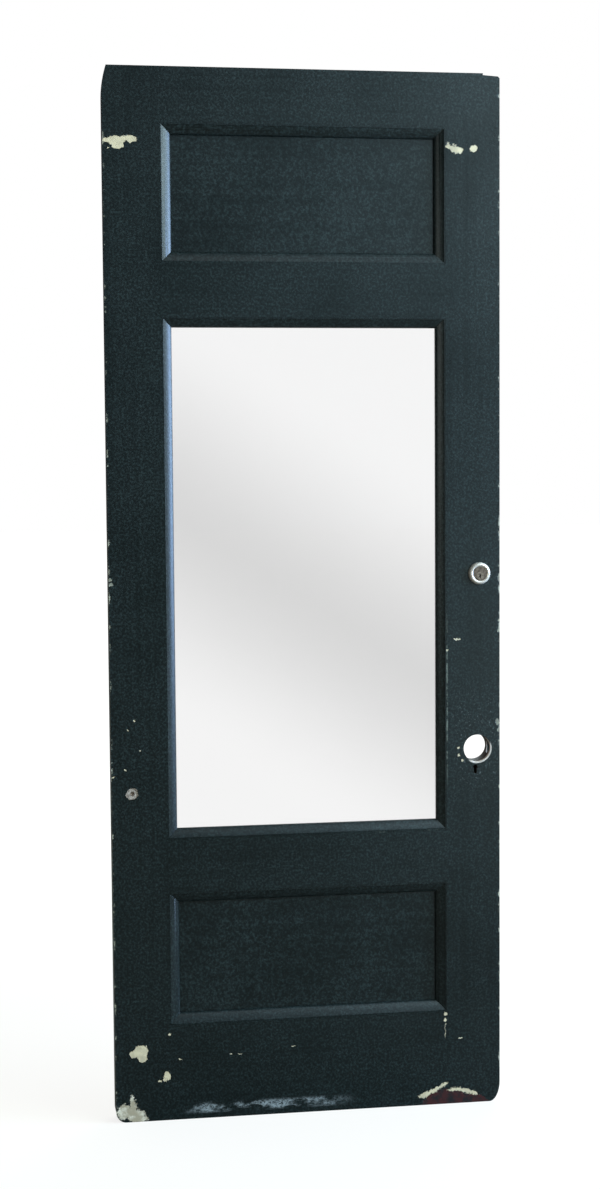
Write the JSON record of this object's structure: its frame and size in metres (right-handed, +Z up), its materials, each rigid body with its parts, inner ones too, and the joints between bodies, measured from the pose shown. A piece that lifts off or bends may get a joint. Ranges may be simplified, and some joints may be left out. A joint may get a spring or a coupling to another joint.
{
  "type": "panelled front door leaf",
  "caption": "Panelled wooden front door leaf with a tall glass light, mitred mouldings, a night-latch cylinder with a turning plug, and an open bore for a knob set.",
  "frame": {"origin": "middle of the bottom edge, halfway through the thickness of the stiles", "axes": "+Z up along the door, -Y out of the outside face, hinge stile at -X and lock stile at +X"},
  "size_m": [0.762, 0.0714, 2.013],
  "materials": {
    "painted_wood": "old gloss paint",
    "glass": "clear, a little hazed",
    "putty": "dry",
    "bare_wood": "bare",
    "nickel": "polished, worn",
    "cylinder_brass": "tarnished",
    "steel": "dull"
  },
  "bodies": {
    "door": {"hinge_stile": "painted_wood", "lock_stile": "painted_wood", "top_rail": "painted_wood", "frieze_rail": "painted_wood", "lock_rail": "painted_wood", "bottom_rail": "painted_wood", "top_panel": "painted_wood", "bottom_panel": "painted_wood", "top_panel_front_moulding_bottom": "painted_wood", "top_panel_front_moulding_right": "painted_wood", "top_panel_front_moulding_top": "painted_wood", "top_panel_front_moulding_left": "painted_wood", "top_panel_back_moulding_bottom": "painted_wood", "top_panel_back_moulding_right": "painted_wood", "top_panel_back_moulding_top": "painted_wood", "top_panel_back_moulding_left": "painted_wood", "bottom_panel_front_moulding_bottom": "painted_wood", "bottom_panel_front_moulding_right": "painted_wood", "bottom_panel_front_moulding_top": "painted_wood", "bottom_panel_front_moulding_left": "painted_wood", "bottom_panel_back_moulding_bottom": "painted_wood", "bottom_panel_back_moulding_right": "painted_wood", "bottom_panel_back_moulding_top": "painted_wood", "bottom_panel_back_moulding_left": "painted_wood", "glass_moulding_bottom": "painted_wood", "glass_moulding_right": "painted_wood", "glass_moulding_top": "painted_wood", "glass_moulding_left": "painted_wood", "glass_bead_bottom": "painted_wood", "glass_bead_right": "painted_wood", "glass_bead_top": "painted_wood", "glass_bead_left": "painted_wood", "glass_pane": "glass", "glass_putty_bottom": "putty", "glass_putty_right": "putty", "glass_putty_top": "putty", "glass_putty_left": "putty", "setting_blocks": "bare_wood", "old_hole_plug": "bare_wood", "cylinder_collar": "nickel", "cylinder_shell": "cylinder_brass", "clamp_plate": "steel", "clamp_screws": "steel"},
    "plug": {"cylinder_plug": "cylinder_brass", "plug_keeper": "cylinder_brass", "tailpiece": "steel"}
  },
  "joints": [
    {"name": "plug_turn", "type": "hinge", "parent": "door", "child": "plug", "pos_m": [0.34, -0.02985, 1.0485], "axis": [0, -1, 0], "continuous": true}
  ]
}
